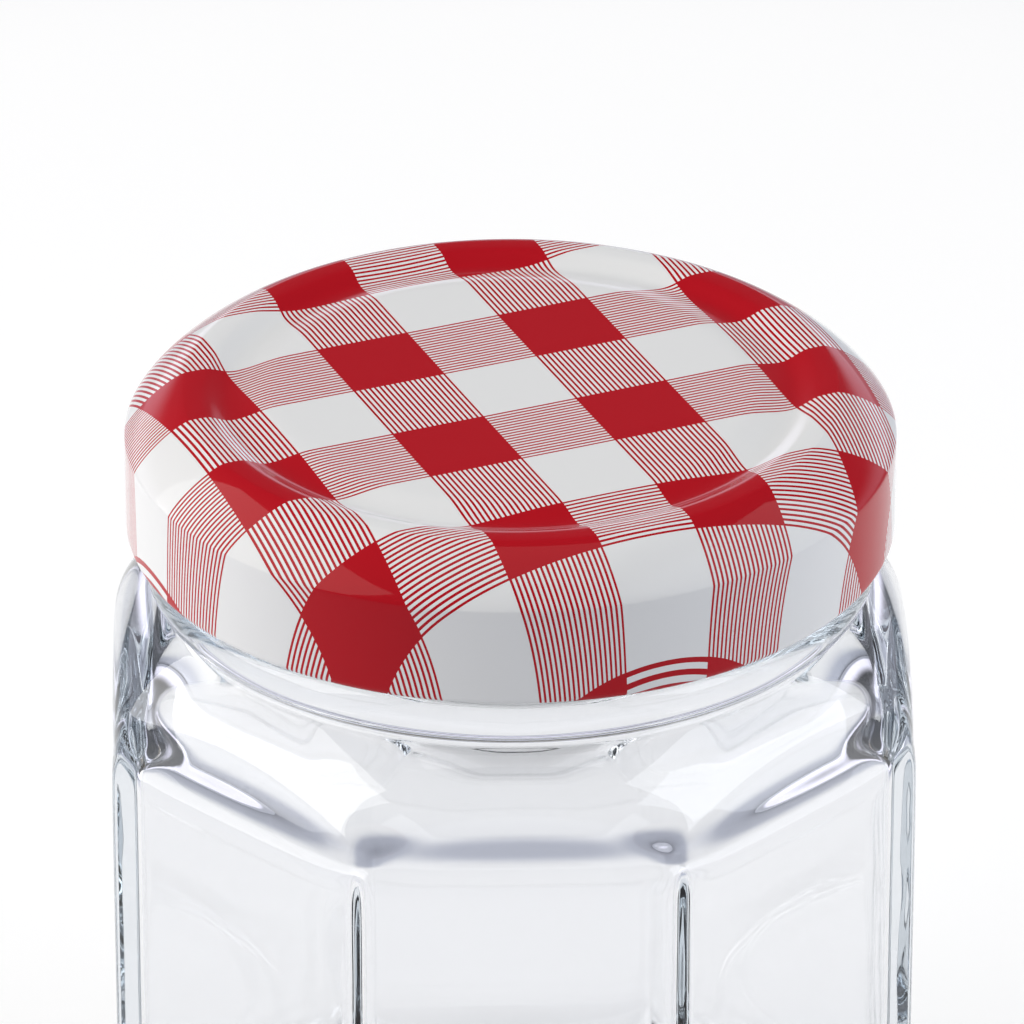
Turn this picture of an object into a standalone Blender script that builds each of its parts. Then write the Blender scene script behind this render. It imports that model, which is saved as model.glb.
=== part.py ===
# Octagonal glass jar with a shut twist-off metal lid. Metres, +Z up, one flat side of the jar towards -Y,
# origin under the centre of the base, on the plane that the jar stands on.
import math

import bpy

mm = 0.001

# Glass body. "half" is half the width across the flats of a ring of the octagon, "corner" the rounding
# of its eight corners. A ring whose corner equals its half is a circle. The shoulder is a turned dome that
# cuts the upright octagon, so the upright edges end lower than the middles of the sides.
body = {
    "half": 32.0 * mm,
    "corner": 1.1 * mm,
    "heelHeight": 5.0 * mm,
    "standOuter": 27.4 * mm,     # the flat ring it stands on runs from standInner to standOuter
    "standInner": 24.0 * mm,
    "standCorner": 14.0 * mm,
    "pushUp": 1.6 * mm,          # height of the hollow under the base
    "domeStart": 58.6 * mm,
    "domeEnd": 67.0 * mm,
    "domeRadius": 34.6 * mm,
    "domePower": 1.5,            # 1 makes the dome's section a quarter of an ellipse, more makes it flatter
    "domeBlend": 50,             # a higher power makes the edge between dome and side sharper
}

# Round neck, its carrying bead, and the finish that the lid closes on.
neck = {
    "radius": 27.9 * mm,
    "beadRadius": 29.3 * mm,
    "beadMiddle": 69.4 * mm,
    "beadHalfHeight": 2.0 * mm,
    "finishRadius": 27.4 * mm,
    "boreRadius": 23.9 * mm,
    "rim": 82.9 * mm,
    "rimRound": 1.1 * mm,
}

# Hollow inside of the glass.
hollow = {
    "half": 28.8 * mm,
    "corner": 1.6 * mm,
    "floorEdge": 4.7 * mm,
    "floorMiddle": 5.5 * mm,
    "floorRadius": 20.0 * mm,
    "floorCorner": 17.0 * mm,
    "heelRise": 7.5 * mm,
    "shoulderStart": 54.0 * mm,  # where the inner shoulder starts, slopes at its full and ends
    "shoulderSteep": 58.4 * mm,
    "shoulderEnd": 70.0 * mm,
    "bump": 1.10,                # how much steeper it is at first than further up
    "bumpWidth": 1.8 * mm,
    "ridgeFade": 1.35,           # how late its ridges melt into the round bore
}

# Pressed metal lid: flat panel, shallow groove, raised ring, sloping shoulder, upright skirt, rolled edge.
lid = {
    "top": 84.0 * mm,
    "height": 12.0 * mm,
    "radius": 30.7 * mm,
    "sheet": 0.45 * mm,
    "panelDrop": 0.33 * mm,      # the flat panel lies this far below the raised ring
    "panelEdge": 18.7 * mm,
    "panelEdgeDrop": 0.28 * mm,
    "grooveRadius": 22.3 * mm,
    "grooveDrop": 0.76 * mm,
    "ringInner": 24.8 * mm,
    "ringOuter": 25.9 * mm,
    "shoulderDrop": 3.8 * mm,
    "shoulderOut": 1.48,         # powers that flatten the shoulder between a round and a chamfer
    "shoulderDown": 1.63,
    "rollInner": 29.35 * mm,     # how far in the rolled bottom edge reaches
    "rollHeight": 1.3 * mm,
}

lidSides = 64
shoulderSteps = 7
domeSteps = 8
halfSector = math.pi / 8
cornerTangent = math.tan(halfSector)


def sectorAngles():
    """Angles of the points of one side, from its middle, closer together towards its corners."""
    share = (-1.0, -0.985, -0.955, -0.75, -0.4, 0.0, 0.4, 0.75, 0.955, 0.985)
    return [halfSector * s for s in share]


def octagonRadius(angle, half, corner):
    """Distance from the axis to a rounded octagon, at this angle from the middle of a side."""
    turned = abs(angle)
    flatEnd = (half - corner) * cornerTangent
    if half * math.tan(turned) <= flatEnd:
        return half / math.cos(turned)
    # The corner is an arc round a point on the ray through the corner.
    centre = (half - corner) / math.cos(halfSector)
    away = halfSector - turned
    return centre * math.cos(away) + math.sqrt(corner ** 2 - (centre * math.sin(away)) ** 2)


def octagonRing(half, corner, height, dome=None, blend=1):
    """One ring of the octagon, cut to the dome's radius by a power mean where a dome is given."""
    points = []
    for side in range(8):
        middle = -math.pi / 2 + side * math.pi / 4
        for angle in sectorAngles():
            radius = octagonRadius(angle, half, min(corner, half))
            if dome:
                radius *= (1 + (radius / dome) ** blend) ** (-1 / blend)
            points.append((radius * math.cos(middle + angle), radius * math.sin(middle + angle), height))
    return points


def circleRing(radius, height):
    angles = [2 * math.pi * i / lidSides for i in range(lidSides)]
    return [(radius * math.cos(a), radius * math.sin(a), height) for a in angles]


def steps(count, first=0.0):
    """Shares from first to 1, both included."""
    return [first + (1 - first) * i / count for i in range(count + 1)]


def domeSections():
    """Rings of the outer shoulder from the upright sides up to the neck. The cosine and the sine of a quarter turn,
    both raised to a power, give the dome's radius and height."""
    half = body["half"]
    corner = body["corner"]
    found = [(half, corner, body["domeStart"] - 2.5 * mm)]
    rise = body["domeEnd"] - body["domeStart"]
    for share in steps(domeSteps):
        turn = share * math.pi / 2
        dome = neck["radius"] + (body["domeRadius"] - neck["radius"]) * abs(math.cos(turn)) ** body["domePower"]
        height = body["domeStart"] + rise * math.sin(turn) ** body["domePower"]
        found.append((half, corner, height, dome, body["domeBlend"]))
    return found


def innerShoulder():
    """Rings of the inner shoulder from the upright wall up to the bore. Its slope rises from the wall, has a
    bump there, and falls in a straight line to nothing at the bore. The sum of the slope from below, scaled to
    end at the bore, is what the half width loses."""
    start = hollow["shoulderStart"]
    steep = hollow["shoulderSteep"]
    end = hollow["shoulderEnd"]
    count = 160
    heights = [start + (end - start) * i / count for i in range(count + 1)]
    lost = [0.0]
    for height in heights[1:]:
        rise = (1 - math.cos(math.pi * min(1, (height - start) / (steep - start)))) / 2
        fall = min(1, (end - height) / (end - steep))
        bump = hollow["bump"] * math.exp(-((height - steep) / hollow["bumpWidth"]) ** 2)
        lost.append(lost[-1] + rise * (fall + bump))
    found = []
    # Rings lie closer together where the slope changes most.
    for i in (0, 14, 24, 33, 42, 50, 59, 72, 90, 116, count):
        share = lost[i] / lost[-1]
        half = hollow["half"] - (hollow["half"] - neck["boreRadius"]) * share
        corner = hollow["corner"] + (half - hollow["corner"]) * share ** hollow["ridgeFade"]
        found.append((half, corner, heights[i]))
    return found


def outerSections():
    """(half, corner, height) of the outside, from the middle of the base up to the rim."""
    found = []
    inner = body["standInner"]
    for share in (0.35, 0.7, 0.88):
        drop = body["pushUp"] * (1 - 0.35 * share ** 2)
        found.append((inner * share, inner * share, drop))
    found.append((inner * 0.96, inner * 0.96, 0.3 * mm))
    found.append((inner, inner, 0.0))
    # The heel is a quarter of an ellipse from the standing ring to the upright sides.
    for share in steps(5):
        turn = share * math.pi / 2
        half = body["standOuter"] + (body["half"] - body["standOuter"]) * math.sin(turn)
        corner = body["standCorner"] + (body["corner"] - body["standCorner"]) * share
        found.append((half, corner, body["heelHeight"] * (1 - math.cos(turn))))
    found.extend(domeSections())
    for share in steps(4):
        turn = math.pi * (share - 0.5)
        radius = neck["radius"] + (neck["beadRadius"] - neck["radius"]) * math.cos(turn)
        found.append((radius, radius, neck["beadMiddle"] + neck["beadHalfHeight"] * math.sin(turn)))
    found.append((neck["finishRadius"], neck["finishRadius"], neck["beadMiddle"] + 2.3 * mm))
    middle = neck["finishRadius"] - neck["rimRound"]
    for share in steps(3):
        turn = share * math.pi / 2
        radius = middle + neck["rimRound"] * math.cos(turn)
        found.append((radius, radius, neck["rim"] - neck["rimRound"] * (1 - math.sin(turn))))
    return found


def innerSections():
    """(half, corner, height) of the inside, from the rim down to the middle of the floor."""
    found = []
    rimRound = neck["rimRound"]
    for share in steps(3):
        turn = share * math.pi / 2
        radius = neck["boreRadius"] + rimRound * (1 - math.sin(turn))
        found.append((radius, radius, neck["rim"] - rimRound * (1 - math.cos(turn))))
    found.extend(reversed(innerShoulder()))
    low = hollow["floorEdge"]
    for share in steps(6):
        turn = share * math.pi / 2
        half = hollow["floorRadius"] + (hollow["half"] - hollow["floorRadius"]) * math.cos(turn)
        corner = hollow["corner"] + (hollow["floorCorner"] - hollow["corner"]) * share
        found.append((half, corner, low + hollow["heelRise"] * (1 - math.sin(turn))))
    for share in (0.7, 0.35):
        height = low + (hollow["floorMiddle"] - low) * (1 - share ** 2)
        found.append((hollow["floorRadius"] * share, hollow["floorRadius"] * share, height))
    return found


def shoulderPoint(share, sheet):
    """(radius, height) on the lid's shoulder, from the ring at share 0 to the skirt at 1, one sheet inside."""
    turn = share * math.pi / 2
    out = math.sin(turn) ** lid["shoulderOut"]
    left = max(math.cos(turn), 0.0) ** lid["shoulderDown"]
    radius = lid["ringOuter"] + (lid["radius"] - sheet - lid["ringOuter"]) * out
    return radius, lid["top"] - sheet - (lid["shoulderDrop"] - sheet / 2) * (1 - left)


def lidSections():
    """(radius, height) of the lid, from its middle over the top, round the rolled edge and back below."""
    top = lid["top"]
    sheet = lid["sheet"]
    upper = []
    for share in (0.35, 0.7, 1.0):
        drop = lid["panelDrop"] + (lid["panelEdgeDrop"] - lid["panelDrop"]) * share ** 2
        upper.append((lid["panelEdge"] * share, top - drop))
    # Down into the groove and up to the ring, both as half waves.
    for share in steps(3, 1 / 3)[:-1]:
        wave = (1 - math.cos(math.pi * share)) / 2
        drop = lid["panelEdgeDrop"] + (lid["grooveDrop"] - lid["panelEdgeDrop"]) * wave
        upper.append((lid["panelEdge"] + (lid["grooveRadius"] - lid["panelEdge"]) * share, top - drop))
    for share in steps(4):
        wave = (1 + math.cos(math.pi * share)) / 2
        radius = lid["grooveRadius"] + (lid["ringInner"] - lid["grooveRadius"]) * share
        upper.append((radius, top - lid["grooveDrop"] * wave))
    for share in steps(shoulderSteps):
        upper.append(shoulderPoint(share, 0.0))
    bottom = top - lid["height"]
    roll = (lid["radius"] - lid["rollInner"]) / 2
    rollMiddle = lid["rollInner"] + roll
    rollHalf = lid["rollHeight"] / 2
    edge = []
    for share in steps(6):
        turn = share * math.pi
        edge.append((rollMiddle + roll * math.cos(turn), bottom + rollHalf * (1 - math.sin(turn))))
    edge.append((lid["rollInner"], bottom + lid["rollHeight"]))
    edge.append((lid["radius"] - sheet, bottom + lid["rollHeight"] + 0.5 * mm))
    # The underside follows the top one sheet lower.
    below = []
    for share in reversed(steps(shoulderSteps - 1)):
        below.append(shoulderPoint(share, sheet))
    under = [(radius, height - sheet) for radius, height in reversed(upper[:-shoulderSteps - 1])]
    return upper + edge + below + under


def loft(name, rings, first, last):
    """A closed mesh through rings of equal length, with a point on the axis at each end."""
    size = len(rings[0])
    points = [(0.0, 0.0, first)]
    for ring in rings:
        points.extend(ring)
    points.append((0.0, 0.0, last))
    faces = []
    for i in range(size):
        after = (i + 1) % size
        faces.append((0, 1 + after, 1 + i))
        for level in range(len(rings) - 1):
            here = 1 + level * size
            faces.append((here + i, here + after, here + size + after, here + size + i))
        end = 1 + (len(rings) - 1) * size
        faces.append((end + i, end + after, len(points) - 1))
    mesh = bpy.data.meshes.new(name)
    mesh.from_pydata(points, [], faces)
    mesh.update()
    return mesh


def addPiece(name, mesh, color, roughness, metallic, alpha):
    """Puts the mesh in the scene with its own material, shaded smooth except at sharp edges."""
    material = bpy.data.materials.new(name)
    material.use_nodes = True
    shader = material.node_tree.nodes["Principled BSDF"]
    shader.inputs["Base Color"].default_value = (*color, 1.0)
    shader.inputs["Roughness"].default_value = roughness
    shader.inputs["Metallic"].default_value = metallic
    shader.inputs["Alpha"].default_value = alpha
    mesh.materials.append(material)
    mesh.shade_smooth()
    mesh.set_sharp_from_angle(angle=math.radians(35))
    piece = bpy.data.objects.new(name, mesh)
    bpy.context.scene.collection.objects.link(piece)
    return piece


for old in list(bpy.data.objects):
    bpy.data.objects.remove(old)

glassRings = [octagonRing(*section) for section in outerSections() + innerSections()]
glassMesh = loft("jar", glassRings, body["pushUp"], hollow["floorMiddle"])
addPiece("jar", glassMesh, (0.90, 0.94, 0.94), 0.05, 0.0, 0.35)

# The lid's rings run from the top down, so the order of each ring is turned to keep its faces outward.
lidRings = [list(reversed(circleRing(*section))) for section in lidSections()]
lidMesh = loft("lid", lidRings, lid["top"] - lid["panelDrop"], lid["top"] - lid["panelDrop"] - lid["sheet"])
addPiece("lid", lidMesh, (0.72, 0.28, 0.29), 0.3, 0.2, 1.0)
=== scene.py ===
import math

import bpy
import numpy as np
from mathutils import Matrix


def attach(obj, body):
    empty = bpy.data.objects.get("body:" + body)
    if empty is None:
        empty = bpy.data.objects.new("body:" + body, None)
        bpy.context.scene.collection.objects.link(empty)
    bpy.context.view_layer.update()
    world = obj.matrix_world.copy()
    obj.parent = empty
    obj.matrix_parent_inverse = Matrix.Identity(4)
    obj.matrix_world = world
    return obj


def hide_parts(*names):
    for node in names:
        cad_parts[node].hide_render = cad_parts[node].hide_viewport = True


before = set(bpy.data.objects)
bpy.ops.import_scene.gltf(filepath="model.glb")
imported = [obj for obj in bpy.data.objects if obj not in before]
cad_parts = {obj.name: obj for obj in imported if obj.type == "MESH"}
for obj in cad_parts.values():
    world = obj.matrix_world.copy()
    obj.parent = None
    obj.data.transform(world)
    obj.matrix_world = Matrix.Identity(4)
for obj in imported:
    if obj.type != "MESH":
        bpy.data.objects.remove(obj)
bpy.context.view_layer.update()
print("frame loaded")

mm = 0.001
sides = 8
sector = 2 * math.pi / sides     # one side of the octagon
noDome = 1.0                     # a circle this wide cuts nothing off
white = (1.0, 1.0, 1.0, 1)


def quarter(count):
    # Angles from 0 to a right angle.
    return np.linspace(0, math.pi / 2, count)


def ease(share):
    # Half a cosine wave that rises from 0 to 1.
    return (1 - np.cos(math.pi * np.clip(share, 0, 1))) / 2


def soften(values, passes):
    # Each value moves to the weighted mean of itself and its two neighbours, which rounds what
    # meets at an angle.
    for _ in range(passes):
        inner = values[:-2] / 4 + values[1:-1] / 2 + values[2:] / 4
        values = np.concatenate([values[:1], inner, values[-1:]])
    return values


def polar(radius, angle, height):
    # Points at a radius and an angle round the upright axis, (r * cos(a), r * sin(a), height).
    columns = np.broadcast_arrays(radius * np.cos(angle), radius * np.sin(angle), height)
    return np.stack(columns, axis=-1)


def closedSurface(name, grid, firstPole, lastPole):
    # A closed skin over a grid of rings, rings along the first axis and points round each along
    # the second. A point on the axis closes each end. Neighbouring points make the faces.
    count, around, _ = grid.shape
    points = np.concatenate([grid.reshape(-1, 3), [firstPole, lastPole]])
    level, place = np.meshgrid(np.arange(count - 1), np.arange(around), indexing="ij")
    here = level * around + place
    after = level * around + (place + 1) % around
    quads = np.stack([here, after, after + around, here + around], axis=-1).reshape(-1, 4)
    start = np.arange(around)
    nextOne = (start + 1) % around
    pole = np.full(around, count * around)
    end = (count - 1) * around
    first = np.stack([pole, nextOne, start], axis=-1)
    last = np.stack([pole + 1, end + start, end + nextOne], axis=-1)
    corners = np.concatenate([quads.ravel(), first.ravel(), last.ravel()]).astype(np.int32)
    sizes = np.concatenate([np.full(len(quads), 4), np.full(2 * around, 3)])
    starts = np.concatenate([[0], np.cumsum(sizes)[:-1]]).astype(np.int32)
    mesh = bpy.data.meshes.new(name)
    mesh.vertices.add(len(points))
    mesh.vertices.foreach_set("co", points.astype(np.float32).ravel())
    mesh.loops.add(len(corners))
    mesh.loops.foreach_set("vertex_index", corners)
    mesh.polygons.add(len(sizes))
    mesh.polygons.foreach_set("loop_start", starts)
    mesh.polygons.foreach_set("use_smooth", np.ones(len(sizes), bool))
    mesh.update(calc_edges=True)
    mesh.validate()
    piece = bpy.data.objects.new(name, mesh)
    bpy.context.scene.collection.objects.link(piece)
    return piece


jarShape = {
    "half": 32.0 * mm,           # half the width across the flats
    "corner": 1.1 * mm,          # rounding of the upright edges
    "heelHeight": 5.0 * mm,
    "standOuter": 27.4 * mm,     # the ring that the jar stands on
    "standInner": 24.0 * mm,
    "standCorner": 14.0 * mm,
    "pushUp": 1.6 * mm,          # how high the base is raised in the middle
    "pushUpFall": 0.35,          # share of that height that is lost towards its edge
    "pushUpStart": 0.06,         # first ring and edge of the push-up, as shares of standInner
    "pushUpEdge": 0.94,
    "standSlope": 0.055,         # share of standInner over which it comes down to the stand
    "domeStart": 58.6 * mm,      # the shoulder is a turned dome that cuts the octagon
    "domeEnd": 67.0 * mm,
    "domeRadius": 34.6 * mm,
    "domeBlend": 50,             # a higher power makes the edge between dome and side sharper
    "domeFade": 2.5 * mm,        # height below the dome over which the cut sets in
    "domeFadeMargin": 0.01,
    "domePower": 1.5,            # 1 makes the section a quarter of an ellipse, more a flatter one
    "neckFillet": 0.6 * mm,
    "neckRadius": 27.9 * mm,
    "beadRadius": 29.3 * mm,
    "beadMiddle": 69.4 * mm,
    "beadHalfHeight": 2.0 * mm,
    "finishRadius": 27.4 * mm,
    "rim": 82.9 * mm,
    "rimRound": 1.1 * mm,
    "rimClear": 0.5 * mm,        # upright runs end this far from the rim's round
    "runClear": 0.6 * mm,        # and this far from the other curves
    "boreRadius": 23.9 * mm,
    "insideHalf": 28.8 * mm,
    "insideCorner": 1.6 * mm,
    "insideShoulder": 54.0 * mm,  # where the inner shoulder starts, slopes at its full and ends
    "insideSteep": 58.4 * mm,
    "insideShoulderEnd": 70.0 * mm,
    "insideBump": 1.10,          # how much steeper it is at first than further up
    "insideBumpWidth": 1.8 * mm,
    "insideFade": 1.35,          # how late its corners melt into the round bore
    "insideHeel": 7.5 * mm,
    "floorEdge": 4.7 * mm,
    "floorMiddle": 5.5 * mm,
    "floorRadius": 20.0 * mm,
    "floorCorner": 17.0 * mm,
    "floorRound": 3,             # how soon the floor's rings turn from octagons to circles
    "floorSpan": (0.95, 0.05),
    "softPasses": 3,
    "pointsPerSide": 40,
    "crowdWave": 0.55,           # share of an even wave in how the points spread over a side
    "crowdPower": 2.2,           # how much the rest of it crowds them towards the corners
}
jarRings = {                     # how many rings each run of the outline has
    "pushUp": 14,
    "standSlope": 8,
    "heel": 22,
    "wall": 12,
    "domeFade": 10,
    "dome": 44,
    "bead": 22,
    "finish": 6,
    "rim": 10,
    "bore": 12,
    "insideShoulder": 90,
    "insideHeel": 28,
    "floor": 12,
}


def octagonRings(columns, s):
    # Points of octagons with rounded corners. A side at the angle a from its middle lies
    # half / cos(a) from the axis. Near a corner the outline is an arc round a point on the
    # corner's ray. A dome's circle cuts each octagon by a power mean,
    # radius * (1 + (radius / dome) ^ blend) ^ (-1 / blend). Along a side the points follow a sine
    # wave mixed with a power of the way from the corner, so they crowd at the corners.
    half, corner, height, dome = columns.T[:, :, None]
    share = np.arange(s["pointsPerSide"]) / s["pointsPerSide"] * 2 - 1
    wave = np.sin(share * math.pi / 2)
    crowd = np.sign(share) * (1 - (1 - np.abs(share)) ** s["crowdPower"])
    turn = (s["crowdWave"] * wave + (1 - s["crowdWave"]) * crowd) * sector / 2
    angle = (np.arange(sides)[:, None] * sector + turn).ravel() - math.pi / 2
    turned = np.abs(np.tile(turn, sides))
    corner = np.minimum(corner, half)
    straight = half / np.cos(turned)
    centre = (half - corner) / math.cos(sector / 2)
    away = sector / 2 - turned
    reach = np.sqrt(np.maximum(corner ** 2 - (centre * np.sin(away)) ** 2, 0))
    onSide = half * np.tan(turned) <= (half - corner) * math.tan(sector / 2)
    radius = np.where(onSide, straight, centre * np.cos(away) + reach)
    radius = radius * (1 + (radius / dome) ** s["domeBlend"]) ** (-1 / s["domeBlend"])
    return polar(radius, angle, height)


def rings(half, corner, height, dome=noDome):
    # Columns (half, corner, height, dome) for a run of rings. A single number holds for all of it.
    return np.stack(np.broadcast_arrays(half, corner, height, dome), axis=1)


def outerShoulder(s, count):
    # The dome's radius is neck + (wide - neck) * cos(t) ^ power and its height
    # start + (end - start) * sin(t) ^ power, for t from 0 to a quarter turn. Below it the cut
    # fades in. The turn into the neck is a soft maximum,
    # neck + fillet * ln(1 + exp((dome - neck) / fillet)).
    start = s["domeStart"]
    fade = s["domeFade"]
    neck = s["neckRadius"]
    fillet = s["neckFillet"]
    low = np.linspace(start - fade, start, count["domeFade"])[1:-1]
    share = (low - start + fade) / fade / (1 + 2 * s["domeFadeMargin"]) + s["domeFadeMargin"]
    cut = s["domeRadius"] * ease(share) ** (-1 / s["domeBlend"])
    turn = quarter(count["dome"])
    dome = neck + (s["domeRadius"] - neck) * np.clip(np.cos(turn), 0, 1) ** s["domePower"]
    dome = neck + fillet * np.logaddexp(0, (dome - neck) / fillet)
    rise = start + (s["domeEnd"] - start) * np.sin(turn) ** s["domePower"]
    return rings(s["half"], s["corner"], np.concatenate([low, rise]), np.concatenate([cut, dome]))


def jarOutside(s, count):
    # From the middle of the base up the outside to the rim. The push-up falls with the square of
    # the radius, the heel is a quarter of an ellipse, the bead half of one, the rim a quarter of
    # a circle.
    share = np.linspace(s["pushUpStart"], s["pushUpEdge"], count["pushUp"])
    base = s["pushUp"] * (1 - s["pushUpFall"] * share ** 2)
    found = [rings(s["standInner"] * share, s["standInner"] * share, base)]
    dip = np.linspace(0, 1, count["standSlope"])[1:]
    edge = s["standInner"] * (1 - s["standSlope"] * (1 - dip))
    found.append(rings(edge, edge, base[-1] * (1 - ease(dip))))
    turn = quarter(count["heel"])
    half = s["standOuter"] + (s["half"] - s["standOuter"]) * np.sin(turn)
    corner = s["standCorner"] + (s["corner"] - s["standCorner"]) * turn / turn[-1]
    found.append(rings(half, corner, s["heelHeight"] * (1 - np.cos(turn))))
    rise = np.linspace(s["heelHeight"], s["domeStart"] - s["domeFade"], count["wall"])[1:]
    found.append(rings(s["half"], s["corner"], rise))
    found.append(outerShoulder(s, count))
    turn = np.linspace(-math.pi / 2, math.pi / 2, count["bead"])
    radius = s["neckRadius"] + (s["beadRadius"] - s["neckRadius"]) * np.cos(turn)
    found.append(rings(radius, radius, s["beadMiddle"] + s["beadHalfHeight"] * np.sin(turn)))
    beadTop = s["beadMiddle"] + s["beadHalfHeight"]
    rimStart = s["rim"] - s["rimRound"]
    rise = np.linspace(beadTop + s["runClear"], rimStart - s["rimClear"], count["finish"])
    found.append(rings(s["finishRadius"], s["finishRadius"], rise))
    turn = quarter(count["rim"])
    radius = s["finishRadius"] - s["rimRound"] * (1 - np.cos(turn))
    found.append(rings(radius, radius, s["rim"] - s["rimRound"] * (1 - np.sin(turn))))
    return np.concatenate(found)


def innerShoulder(s, count):
    # The slope rises from the upright wall, has a bump there, and falls in a straight line to
    # nothing at the bore. Its sum from below, scaled to end at the bore, is what the half width
    # loses. The bump is a bell curve.
    height = np.linspace(s["insideShoulder"], s["insideShoulderEnd"], count["insideShoulder"])
    above = height - s["insideSteep"]
    rise = ease((height - s["insideShoulder"]) / (s["insideSteep"] - s["insideShoulder"]))
    fall = np.clip(1 - above / (s["insideShoulderEnd"] - s["insideSteep"]), 0, 1)
    bump = s["insideBump"] * np.exp(-(above / s["insideBumpWidth"]) ** 2)
    lost = np.cumsum(rise * (fall + bump))
    lost = lost / lost[-1]
    half = s["insideHalf"] - (s["insideHalf"] - s["boreRadius"]) * lost
    corner = s["insideCorner"] + (half - s["insideCorner"]) * lost ** s["insideFade"]
    return rings(half, corner, height)


def jarInside(s, count):
    # From the rim down the inside to the middle of the floor. The inner heel is a quarter of an
    # ellipse, and the floor rises with the square of the way in from its edge.
    turn = quarter(count["rim"])
    radius = s["boreRadius"] + s["rimRound"] * (1 - np.sin(turn))
    found = [rings(radius, radius, s["rim"] - s["rimRound"] * (1 - np.cos(turn)))]
    start = s["rim"] - s["rimRound"] - 2 * s["rimClear"]
    fall = np.linspace(start, s["insideShoulderEnd"] + s["runClear"], count["bore"])
    found.append(rings(s["boreRadius"], s["boreRadius"], fall))
    found.append(innerShoulder(s, count)[::-1])
    start = s["insideShoulder"] - s["runClear"]
    fall = np.linspace(start, s["floorEdge"] + s["insideHeel"], count["wall"])[:-1]
    found.append(rings(s["insideHalf"], s["insideCorner"], fall))
    turn = quarter(count["insideHeel"])
    half = s["floorRadius"] + (s["insideHalf"] - s["floorRadius"]) * np.cos(turn)
    corner = s["insideCorner"] + (s["floorCorner"] - s["insideCorner"]) * turn / turn[-1]
    found.append(rings(half, corner, s["floorEdge"] + s["insideHeel"] * (1 - np.sin(turn))))
    share = np.linspace(*s["floorSpan"], count["floor"])
    radius = s["floorRadius"] * share
    corner = s["floorCorner"] + (radius - s["floorCorner"]) * ease((1 - share) * s["floorRound"])
    rise = (s["floorMiddle"] - s["floorEdge"]) * (1 - share ** 2)
    found.append(rings(radius, corner, s["floorEdge"] + rise))
    return np.concatenate(found)


def makeJar(s, count):
    outside = soften(octagonRings(jarOutside(s, count), s), s["softPasses"])
    inside = soften(octagonRings(jarInside(s, count), s), s["softPasses"])
    poles = (0, 0, s["pushUp"]), (0, 0, s["floorMiddle"])
    return closedSurface("jarGlass", np.concatenate([outside, inside]), *poles)


jarGlass = makeJar(jarShape, jarRings)
print("jar made:", len(jarGlass.data.polygons), "faces")


lidShape = {
    "top": 84.0 * mm,
    "height": 12.0 * mm,
    "radius": 30.7 * mm,
    "sheet": 0.45 * mm,
    "panelDrop": 0.33 * mm,      # the flat panel lies this far below the raised ring
    "panelStart": 0.02,          # first ring of the panel, as a share of panelEdge
    "panelEdge": 18.7 * mm,
    "panelEdgeDrop": 0.28 * mm,
    "grooveRadius": 22.3 * mm,
    "grooveDrop": 0.76 * mm,
    "ringInner": 24.8 * mm,
    "ringOuter": 25.9 * mm,
    "shoulderDrop": 3.8 * mm,
    "shoulderOut": 1.48,         # powers that flatten the shoulder between a round and a chamfer
    "shoulderDown": 1.63,
    "rollInner": 29.35 * mm,
    "rollHeight": 1.3 * mm,
    "rollLap": 0.5 * mm,
    "stretchStart": 1.10,        # how much the sheet was drawn out, at the ring and down to the rim
    "stretchMore": 1.64,
    "stretchPower": 2.75,
    "softPasses": 2,
    "around": 360,
}
lidPoints = {                    # how many points each run of the section has
    "panel": 24,
    "groove": 12,
    "shoulder": 40,
    "shoulderBack": 24,
    "skirt": 16,
    "roll": 20,
    "printedRoll": 6,            # of these, the points that the print still covers
}
printShape = {
    "period": 15.734 * mm,       # one light and one dark band
    "darkShare": 0.5,
    "turn": 21.69,
    "offsetU": 0.737,            # where the lid's middle lies in the check
    "offsetV": 0.787,
    "linePitch": 0.0271,         # of the fine lines in a half tone band
    "firstLine": 0.007,
    "lineShare": 0.47,
    "backGap": 5 * mm,           # the unprinted back lies this far outside the print
}


def shoulderCurve(s, count, sheet):
    # (radius, height) from the ring to the skirt, one sheet inside the outer face. Radius and
    # height follow powers of the sine and cosine, which makes a slope with soft ends.
    turn = quarter(count)
    out = np.sin(turn) ** s["shoulderOut"]
    left = np.cos(turn) ** s["shoulderDown"]
    radius = s["ringOuter"] + (s["radius"] - sheet - s["ringOuter"]) * out
    height = s["top"] - sheet - (s["shoulderDrop"] - sheet / 2) * (1 - left)
    return np.stack([radius, height], axis=-1)


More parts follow.
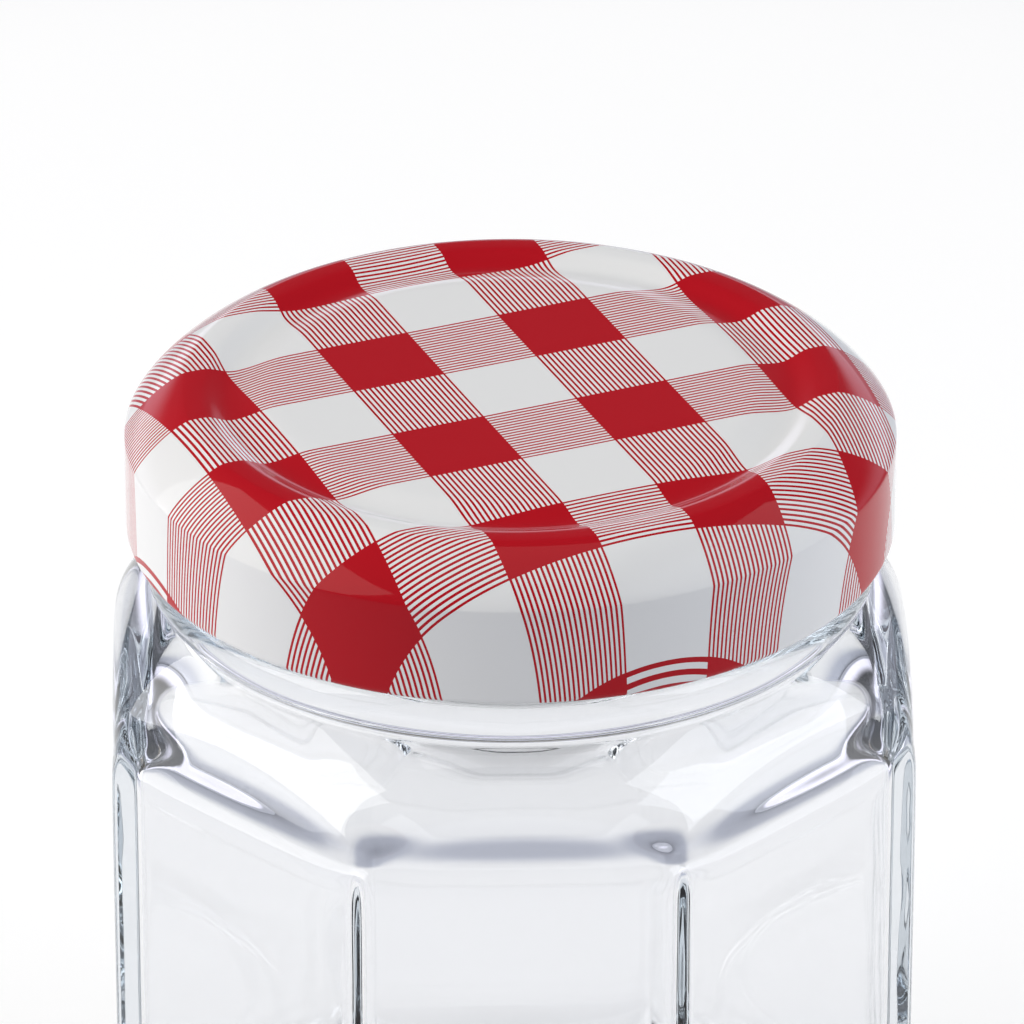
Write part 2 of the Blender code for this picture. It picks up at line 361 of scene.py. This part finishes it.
def lidOutline(s, count):
    # (radius, height) from the middle over the top to the bottom of the skirt, then round the
    # rolled edge and back one sheet below. The panel sinks with the square of the radius, groove
    # and ring are half waves, and the rolled edge is half an ellipse.
    share = np.linspace(s["panelStart"], 1, count["panel"])
    drop = s["panelDrop"] + (s["panelEdgeDrop"] - s["panelDrop"]) * share ** 2
    upper = [np.stack([s["panelEdge"] * share, s["top"] - drop], axis=-1)]
    share = np.linspace(0, 1, count["groove"])[1:]
    radius = s["panelEdge"] + (s["grooveRadius"] - s["panelEdge"]) * share
    drop = s["panelEdgeDrop"] + (s["grooveDrop"] - s["panelEdgeDrop"]) * ease(share)
    upper.append(np.stack([radius, s["top"] - drop], axis=-1))
    radius = s["grooveRadius"] + (s["ringInner"] - s["grooveRadius"]) * share
    upper.append(np.stack([radius, s["top"] - s["grooveDrop"] * (1 - ease(share))], axis=-1))
    flatTop = len(np.concatenate(upper))
    upper.append(shoulderCurve(s, count["shoulder"], 0.0))
    bottom = s["top"] - s["height"]
    middle = bottom + s["rollHeight"] / 2
    fall = np.linspace(s["top"] - s["shoulderDrop"], middle, count["skirt"])[1:-1]
    upper.append(np.stack([np.full_like(fall, s["radius"]), fall], axis=-1))
    upper = soften(np.concatenate(upper), s["softPasses"])
    turn = np.linspace(0, math.pi, count["roll"])
    roll = (s["radius"] - s["rollInner"]) / 2
    radius = s["rollInner"] + roll * (1 + np.cos(turn))
    rolled = np.stack([radius, middle - s["rollHeight"] / 2 * np.sin(turn)], axis=-1)
    rollTop = bottom + s["rollHeight"]
    back = [[s["rollInner"], rollTop], [s["radius"] - s["sheet"], rollTop + s["rollLap"]]]
    under = shoulderCurve(s, count["shoulderBack"], s["sheet"])[::-1]
    below = upper[:flatTop][::-1] - [0, s["sheet"]]
    return np.concatenate([upper, rolled, back, under, below]), len(upper)


def blankRadius(outline, skirtEnd, printed, s, p):
    # How far from its middle each point of the lid lay on the flat sheet before pressing: the
    # length along the outline, divided by a stretch that grows with a power of the way from the
    # ring to the rim.
    step = np.hypot(*np.diff(outline, axis=0, prepend=[[0, outline[0, 1]]]).T)
    along = np.cumsum(step)
    ring = np.interp(s["ringOuter"], outline[:skirtEnd, 0], along[:skirtEnd])
    share = np.clip((along - ring) / (along[skirtEnd] - ring), 0, 1)
    drawn = s["stretchStart"] + s["stretchMore"] * share ** s["stretchPower"]
    blank = np.cumsum(step / np.where(along > ring, drawn, 1))
    blank[printed:] = blank[printed - 1] + p["backGap"]
    return blank


def makeLid(s, count, p):
    outline, skirtEnd = lidOutline(s, count)
    printed = skirtEnd + count["printedRoll"]
    # The rings run from the top down, so they turn the other way for faces that point outwards.
    angle = -np.arange(s["around"]) / s["around"] * 2 * math.pi
    peak = s["top"] - s["panelDrop"]
    poles = (0, 0, peak), (0, 0, peak - s["sheet"])
    piece = closedSurface("lidMetal", polar(outline[:, :1], angle, outline[:, 1:]), *poles)
    blank = blankRadius(outline, skirtEnd, printed, s, p) / p["period"]
    flat = polar(blank[:, None], angle, 0)[:, :, :2].reshape(-1, 2)
    flat = np.concatenate([flat, [[0, 0], [blank[-1], 0]]])
    mesh = piece.data
    index = np.empty(len(mesh.loops), np.int32)
    mesh.loops.foreach_get("vertex_index", index)
    layer = mesh.uv_layers.new(name="flatBlank")
    layer.data.foreach_set("uv", flat[index].astype(np.float32).ravel())
    return piece, float(blank[printed - 1])


lidMetal, printEdge = makeLid(lidShape, lidPoints, printShape)
print("lid made:", len(lidMetal.data.polygons), "faces, print edge at", round(printEdge, 3))


def newMaterial(name):
    material = bpy.data.materials.new(name)
    material.use_nodes = True
    tree = material.node_tree
    return material, tree, tree.nodes["Principled BSDF"]


def setSockets(shader, values):
    for name, value in values.items():
        shader.inputs[name].default_value = value


def number(tree, operation, a, b=None, c=None):
    # One Math node. An input is a number or another node's output.
    node = tree.nodes.new("ShaderNodeMath")
    node.operation = operation
    for socket, value in zip(node.inputs, (a, b, c)):
        if value is None:
            continue
        if isinstance(value, (int, float)):
            socket.default_value = value
        else:
            tree.links.new(value, socket)
    return node.outputs[0]


def mixColor(tree, share, first, second):
    node = tree.nodes.new("ShaderNodeMix")
    node.data_type = "RGBA"
    sockets = node.inputs["Factor"], node.inputs[6], node.inputs[7]
    for socket, value in zip(sockets, (share, first, second)):
        if isinstance(value, (int, float, tuple)):
            socket.default_value = value
        else:
            tree.links.new(value, socket)
    return node.outputs[2]


def smoothShare(tree, value, span):
    # 0 below the first number of span, 1 above the second, an even S between them.
    node = tree.nodes.new("ShaderNodeMapRange")
    node.interpolation_type = "SMOOTHSTEP"
    setSockets(node, {"From Min": span[0], "From Max": span[1]})
    tree.links.new(value, node.inputs["Value"])
    return node.outputs["Result"]


def makeUnevenSurface():
    # The group that both finishes use: noise of a scale becomes a normal, as if it stood as high
    # as Height, in metres.
    group = bpy.data.node_groups.new("unevenSurface", "ShaderNodeTree")
    for name, way, kind in (("Place", "INPUT", "Vector"), ("Scale", "INPUT", "Float"),
                            ("Height", "INPUT", "Float"), ("Normal", "OUTPUT", "Vector")):
        group.interface.new_socket(name, in_out=way, socket_type="NodeSocket" + kind)
    given = group.nodes.new("NodeGroupInput").outputs
    noise = group.nodes.new("ShaderNodeTexNoise")
    setSockets(noise, {"Detail": 1.0, "Roughness": 0.5})
    bump = group.nodes.new("ShaderNodeBump")
    setSockets(bump, {"Strength": 1.0})
    group.links.new(given["Place"], noise.inputs["Vector"])
    group.links.new(given["Scale"], noise.inputs["Scale"])
    group.links.new(given["Height"], bump.inputs["Distance"])
    group.links.new(noise.outputs["Fac"], bump.inputs["Height"])
    group.links.new(bump.outputs["Normal"], group.nodes.new("NodeGroupOutput").inputs["Normal"])
    return group


def roughen(tree, shader, group, scale, height):
    # Places the group in a material with values of its own and feeds the shader its normal.
    node = tree.nodes.new("ShaderNodeGroup")
    node.node_tree = group
    setSockets(node, {"Scale": scale, "Height": height})
    place = tree.nodes.new("ShaderNodeTexCoord").outputs["Object"]
    tree.links.new(place, node.inputs["Place"])
    tree.links.new(node.outputs["Normal"], shader.inputs["Normal"])


glassLook = {
    "color": (0.950, 0.952, 0.962, 1),
    "ior": 1.52,
    "absorbColor": (0.74, 0.79, 0.83, 1),
    "absorbDensity": 20.0,       # what a metre of glass swallows, felt where light runs far in it
    "waveScale": 90,             # slow unevenness of moulded glass
    "waveHeight": 0.00006,
}


def makeGlass(look, group):
    material, tree, shader = newMaterial("clearGlass")
    setSockets(shader, {"Base Color": look["color"], "Roughness": 0.0, "IOR": look["ior"],
                        "Transmission Weight": 1.0})
    roughen(tree, shader, group, look["waveScale"], look["waveHeight"])
    depth = tree.nodes.new("ShaderNodeVolumeAbsorption")
    setSockets(depth, {"Color": look["absorbColor"], "Density": look["absorbDensity"]})
    tree.links.new(depth.outputs["Volume"], tree.nodes["Material Output"].inputs["Volume"])
    return material


lidLook = {
    "white": (0.76, 0.76, 0.755, 1),
    "red": (0.43, 0.006, 0.013, 1),
    "lacquer": (0.50, 0.45, 0.38, 1),
    "lacquerMetal": 0.85,        # the unprinted back shows the metal through its lacquer
    "roughness": 0.42,
    "specular": 0.03,
    "coatWeight": 1.0,
    "coatRoughness": 0.04,
    "coatIor": 1.22,
    "grain": 9000,
    "grainHeight": 0.000004,
}


def lineMask(tree, place, p):
    # 1 on the fine lines of a band, at equal steps from the first line.
    half = p["linePitch"] * p["lineShare"] / 2
    fromFirst = number(tree, "SUBTRACT", place, p["firstLine"] - half)
    step = number(tree, "FRACT", number(tree, "DIVIDE", fromFirst, p["linePitch"]))
    return number(tree, "LESS_THAN", step, p["lineShare"])


def makePrint(look, p, edge, group):
    material, tree, shader = newMaterial("checkedPrint")
    uv = tree.nodes.new("ShaderNodeUVMap")
    uv.uv_map = "flatBlank"
    turned = tree.nodes.new("ShaderNodeMapping")
    setSockets(turned, {"Rotation": (0, 0, -math.radians(p["turn"])),
                        "Location": (p["offsetU"], -p["offsetV"], 0)})
    tree.links.new(uv.outputs["UV"], turned.inputs["Vector"])
    parts = tree.nodes.new("ShaderNodeSeparateXYZ")
    tree.links.new(turned.outputs["Vector"], parts.inputs["Vector"])
    across = number(tree, "FRACT", parts.outputs["X"])
    along = number(tree, "FRACT", number(tree, "MULTIPLY", parts.outputs["Y"], -1.0))
    inAcross = number(tree, "LESS_THAN", across, p["darkShare"])
    inAlong = number(tree, "LESS_THAN", along, p["darkShare"])
    both = number(tree, "MULTIPLY", inAcross, inAlong)
    linesAcross = number(tree, "MULTIPLY", inAcross, lineMask(tree, across, p))
    linesAlong = number(tree, "MULTIPLY", inAlong, lineMask(tree, along, p))
    onlyAcross = number(tree, "MULTIPLY", linesAcross, number(tree, "SUBTRACT", 1.0, inAlong))
    onlyAlong = number(tree, "MULTIPLY", linesAlong, number(tree, "SUBTRACT", 1.0, inAcross))
    ink = number(tree, "ADD", both, number(tree, "ADD", onlyAcross, onlyAlong))
    printed = mixColor(tree, ink, look["white"], look["red"])
    far = tree.nodes.new("ShaderNodeVectorMath")
    far.operation = "LENGTH"
    tree.links.new(uv.outputs["UV"], far.inputs[0])
    bare = number(tree, "GREATER_THAN", far.outputs["Value"], edge)
    color = mixColor(tree, bare, printed, look["lacquer"])
    metal = number(tree, "MULTIPLY", bare, look["lacquerMetal"])
    tree.links.new(color, shader.inputs["Base Color"])
    tree.links.new(metal, shader.inputs["Metallic"])
    roughen(tree, shader, group, look["grain"], look["grainHeight"])
    setSockets(shader, {"Roughness": look["roughness"], "Specular IOR Level": look["specular"],
                        "Coat Weight": look["coatWeight"], "Coat IOR": look["coatIor"],
                        "Coat Roughness": look["coatRoughness"]})
    return material


unevenSurface = makeUnevenSurface()
jarGlass.data.materials.append(makeGlass(glassLook, unevenSurface))
lidMetal.data.materials.append(makePrint(lidLook, printShape, printEdge, unevenSurface))
for piece, node, slotName in ((jarGlass, "jar", "glass"), (lidMetal, "lid", "lid_metal")):
    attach(piece, "root")
    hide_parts(node)
print("materials made")


stageLook = {
    "floorSize": 3.0,
    # Painted light: the floor's colours and glow below make a bright pool near the jar that fades to
    # a darker, bluer grey.
    "paintedPoolColor": (0.50, 0.50, 0.50, 1),
    "paintedFarColor": (0.46, 0.48, 0.55, 1),
    "floorCentre": (0, 0.10, 0),
    "floorTurn": (0.14, 0.34),   # distances from there between which near turns to far
    "floorRoughness": 0.9,
    "floorSpecular": 0.1,
    "paintedPoolGlow": 0.54,
    "paintedFarGlow": 0.25,
    "skyHorizon": (0.50, 0.52, 0.60, 1),
    "skyLow": (1.26, 1.24, 1.44, 1),
    "skyHigh": (0.09, 0.092, 0.1, 1),
    "skyStrength": 1.0,
    "skyRise": (0.0, 0.03),      # sines of the elevations between which the sky brightens
    "skyTurn": (0.12, 0.30),     # and those between which it darkens
    "skyFront": (0.16, 0.162, 0.18, 1),
    "frontTurn": (-0.35, 0.15),  # from the camera's side, where the low sky is skyFront, to the rest
}


def makeFloor(look):
    # A square in the ground plane. Painted light: it glows and is paler round floorCentre, a painted
    # pool of light, and is painted darker and bluer further off.
    size = look["floorSize"] / 2
    corners = [(-size, -size, 0), (size, -size, 0), (size, size, 0), (-size, size, 0)]
    mesh = bpy.data.meshes.new("floor")
    mesh.from_pydata(corners, [], [(0, 1, 2, 3)])
    floor = bpy.data.objects.new("floor", mesh)
    bpy.context.scene.collection.objects.link(floor)
    material, tree, shader = newMaterial("paleFloor")
    place = tree.nodes.new("ShaderNodeTexCoord").outputs["Object"]
    far = tree.nodes.new("ShaderNodeVectorMath")
    far.operation = "DISTANCE"
    tree.links.new(place, far.inputs[0])
    far.inputs[1].default_value = look["floorCentre"]
    share = smoothShare(tree, far.outputs["Value"], look["floorTurn"])
    color = mixColor(tree, share, look["paintedPoolColor"], look["paintedFarColor"])
    glowColor = mixColor(tree, share, white, look["paintedFarColor"])
    glowMore = look["paintedFarGlow"] - look["paintedPoolGlow"]
    glow = number(tree, "MULTIPLY_ADD", share, glowMore, look["paintedPoolGlow"])
    tree.links.new(color, shader.inputs["Base Color"])
    tree.links.new(glowColor, shader.inputs["Emission Color"])
    tree.links.new(glow, shader.inputs["Emission Strength"])
    setSockets(shader, {"Roughness": look["floorRoughness"],
                        "Specular IOR Level": look["floorSpecular"]})
    mesh.materials.append(material)


def makeSky(look):
    world = bpy.data.worlds.new("studio")
    world.use_nodes = True
    tree = world.node_tree
    back = tree.nodes["Background"]
    place = tree.nodes.new("ShaderNodeTexCoord").outputs["Generated"]
    parts = tree.nodes.new("ShaderNodeSeparateXYZ")
    tree.links.new(place, parts.inputs["Vector"])
    rise = smoothShare(tree, parts.outputs["Z"], look["skyRise"])
    turn = smoothShare(tree, parts.outputs["Z"], look["skyTurn"])
    behind = smoothShare(tree, parts.outputs["Y"], look["frontTurn"])
    low = mixColor(tree, rise, look["skyHorizon"], look["skyLow"])
    low = mixColor(tree, behind, look["skyFront"], low)
    tree.links.new(mixColor(tree, turn, low, look["skyHigh"]), back.inputs["Color"])
    back.inputs["Strength"].default_value = look["skyStrength"]
    bpy.context.scene.world = world


# name: (azimuth, elevation, distance, width, height, watts, colour). Azimuth 0 is behind the camera.
lamps = {
    "above": (0, 84, 0.9, 0.60, 0.60, 1.5, (1.0, 1.0, 1.0)),
    "left": (-88, 30, 0.9, 1.20, 0.9, 9.6, (1.0, 0.98, 0.95)),
    "right": (80, 34, 0.9, 1.00, 0.8, 5.6, (0.93, 0.96, 1.0)),
}
lampAim = (0, 0, 0.05)           # the point that the lamps turn round


def makeLamp(name, azimuth, elevation, distance, width, height, watts, color):
    data = bpy.data.lights.new(name, "AREA")
    data.shape = "RECTANGLE"
    data.size = width
    data.size_y = height
    data.energy = watts
    data.color = color
    lamp = bpy.data.objects.new(name, data)
    around = math.radians(azimuth)
    up = math.radians(elevation)
    out = np.array([math.sin(around), -math.cos(around), 0]) * math.cos(up)
    lamp.location = (out + [0, 0, math.sin(up)]) * distance + lampAim
    lamp.rotation_euler = (math.pi / 2 - up, 0, around)
    bpy.context.scene.collection.objects.link(lamp)


cameraLook = {
    "lens": 351.6,               # mm
    "sensor": 36,
    "elevation": 27.36,          # degrees from which the middle of the lid is seen
    "azimuth": -1.4,             # degrees that the camera stands to the side of the jar's front
    "picture": 1024,             # width and height in pixels
    "pixelScale": 12.605,        # pixels for a millimetre at the middle of the lid
    "lidMiddle": (510.5, 389.6),
    "clip": (0.05, 10),
}


def makeCamera(look, target):
    # The camera looks so that the target falls on lidMiddle, from the distance that gives the
    # pixel scale there.
    data = bpy.data.cameras.new("camera")
    data.lens = look["lens"]
    data.sensor_width = look["sensor"]
    data.clip_start, data.clip_end = look["clip"]
    camera = bpy.data.objects.new("camera", data)
    pixels = look["lens"] / look["sensor"] * look["picture"]
    depth = pixels / look["pixelScale"] * mm
    beside = (look["lidMiddle"][0] - look["picture"] / 2) / pixels
    above = (look["picture"] / 2 - look["lidMiddle"][1]) / pixels
    pitch = math.radians(look["elevation"]) + math.atan(above)
    around = math.radians(look["azimuth"])
    front = np.array([-math.sin(around), math.cos(around), 0])
    right = np.array([math.cos(around), math.sin(around), 0])
    forward = math.cos(pitch) * front - np.array([0, 0, math.sin(pitch)])
    up = math.sin(pitch) * front + np.array([0, 0, math.cos(pitch)])
    camera.location = np.array(target) - depth * (beside * right + above * up + forward)
    camera.rotation_euler = (math.pi / 2 - pitch, 0, around)
    bpy.context.scene.collection.objects.link(camera)
    bpy.context.scene.camera = camera


makeFloor(stageLook)
makeSky(stageLook)
for name, values in lamps.items():
    makeLamp(name, *values)
makeCamera(cameraLook, (0, 0, lidShape["top"] - lidShape["panelDrop"]))

lightBounces = {                 # light runs far inside thick glass before it comes out
    "max_bounces": 40,
    "transmission_bounces": 40,
    "glossy_bounces": 20,
}
for name, value in lightBounces.items():
    setattr(bpy.context.scene.cycles, name, value)
bpy.context.scene.view_settings.view_transform = "Standard"
print("floor, light and camera made")
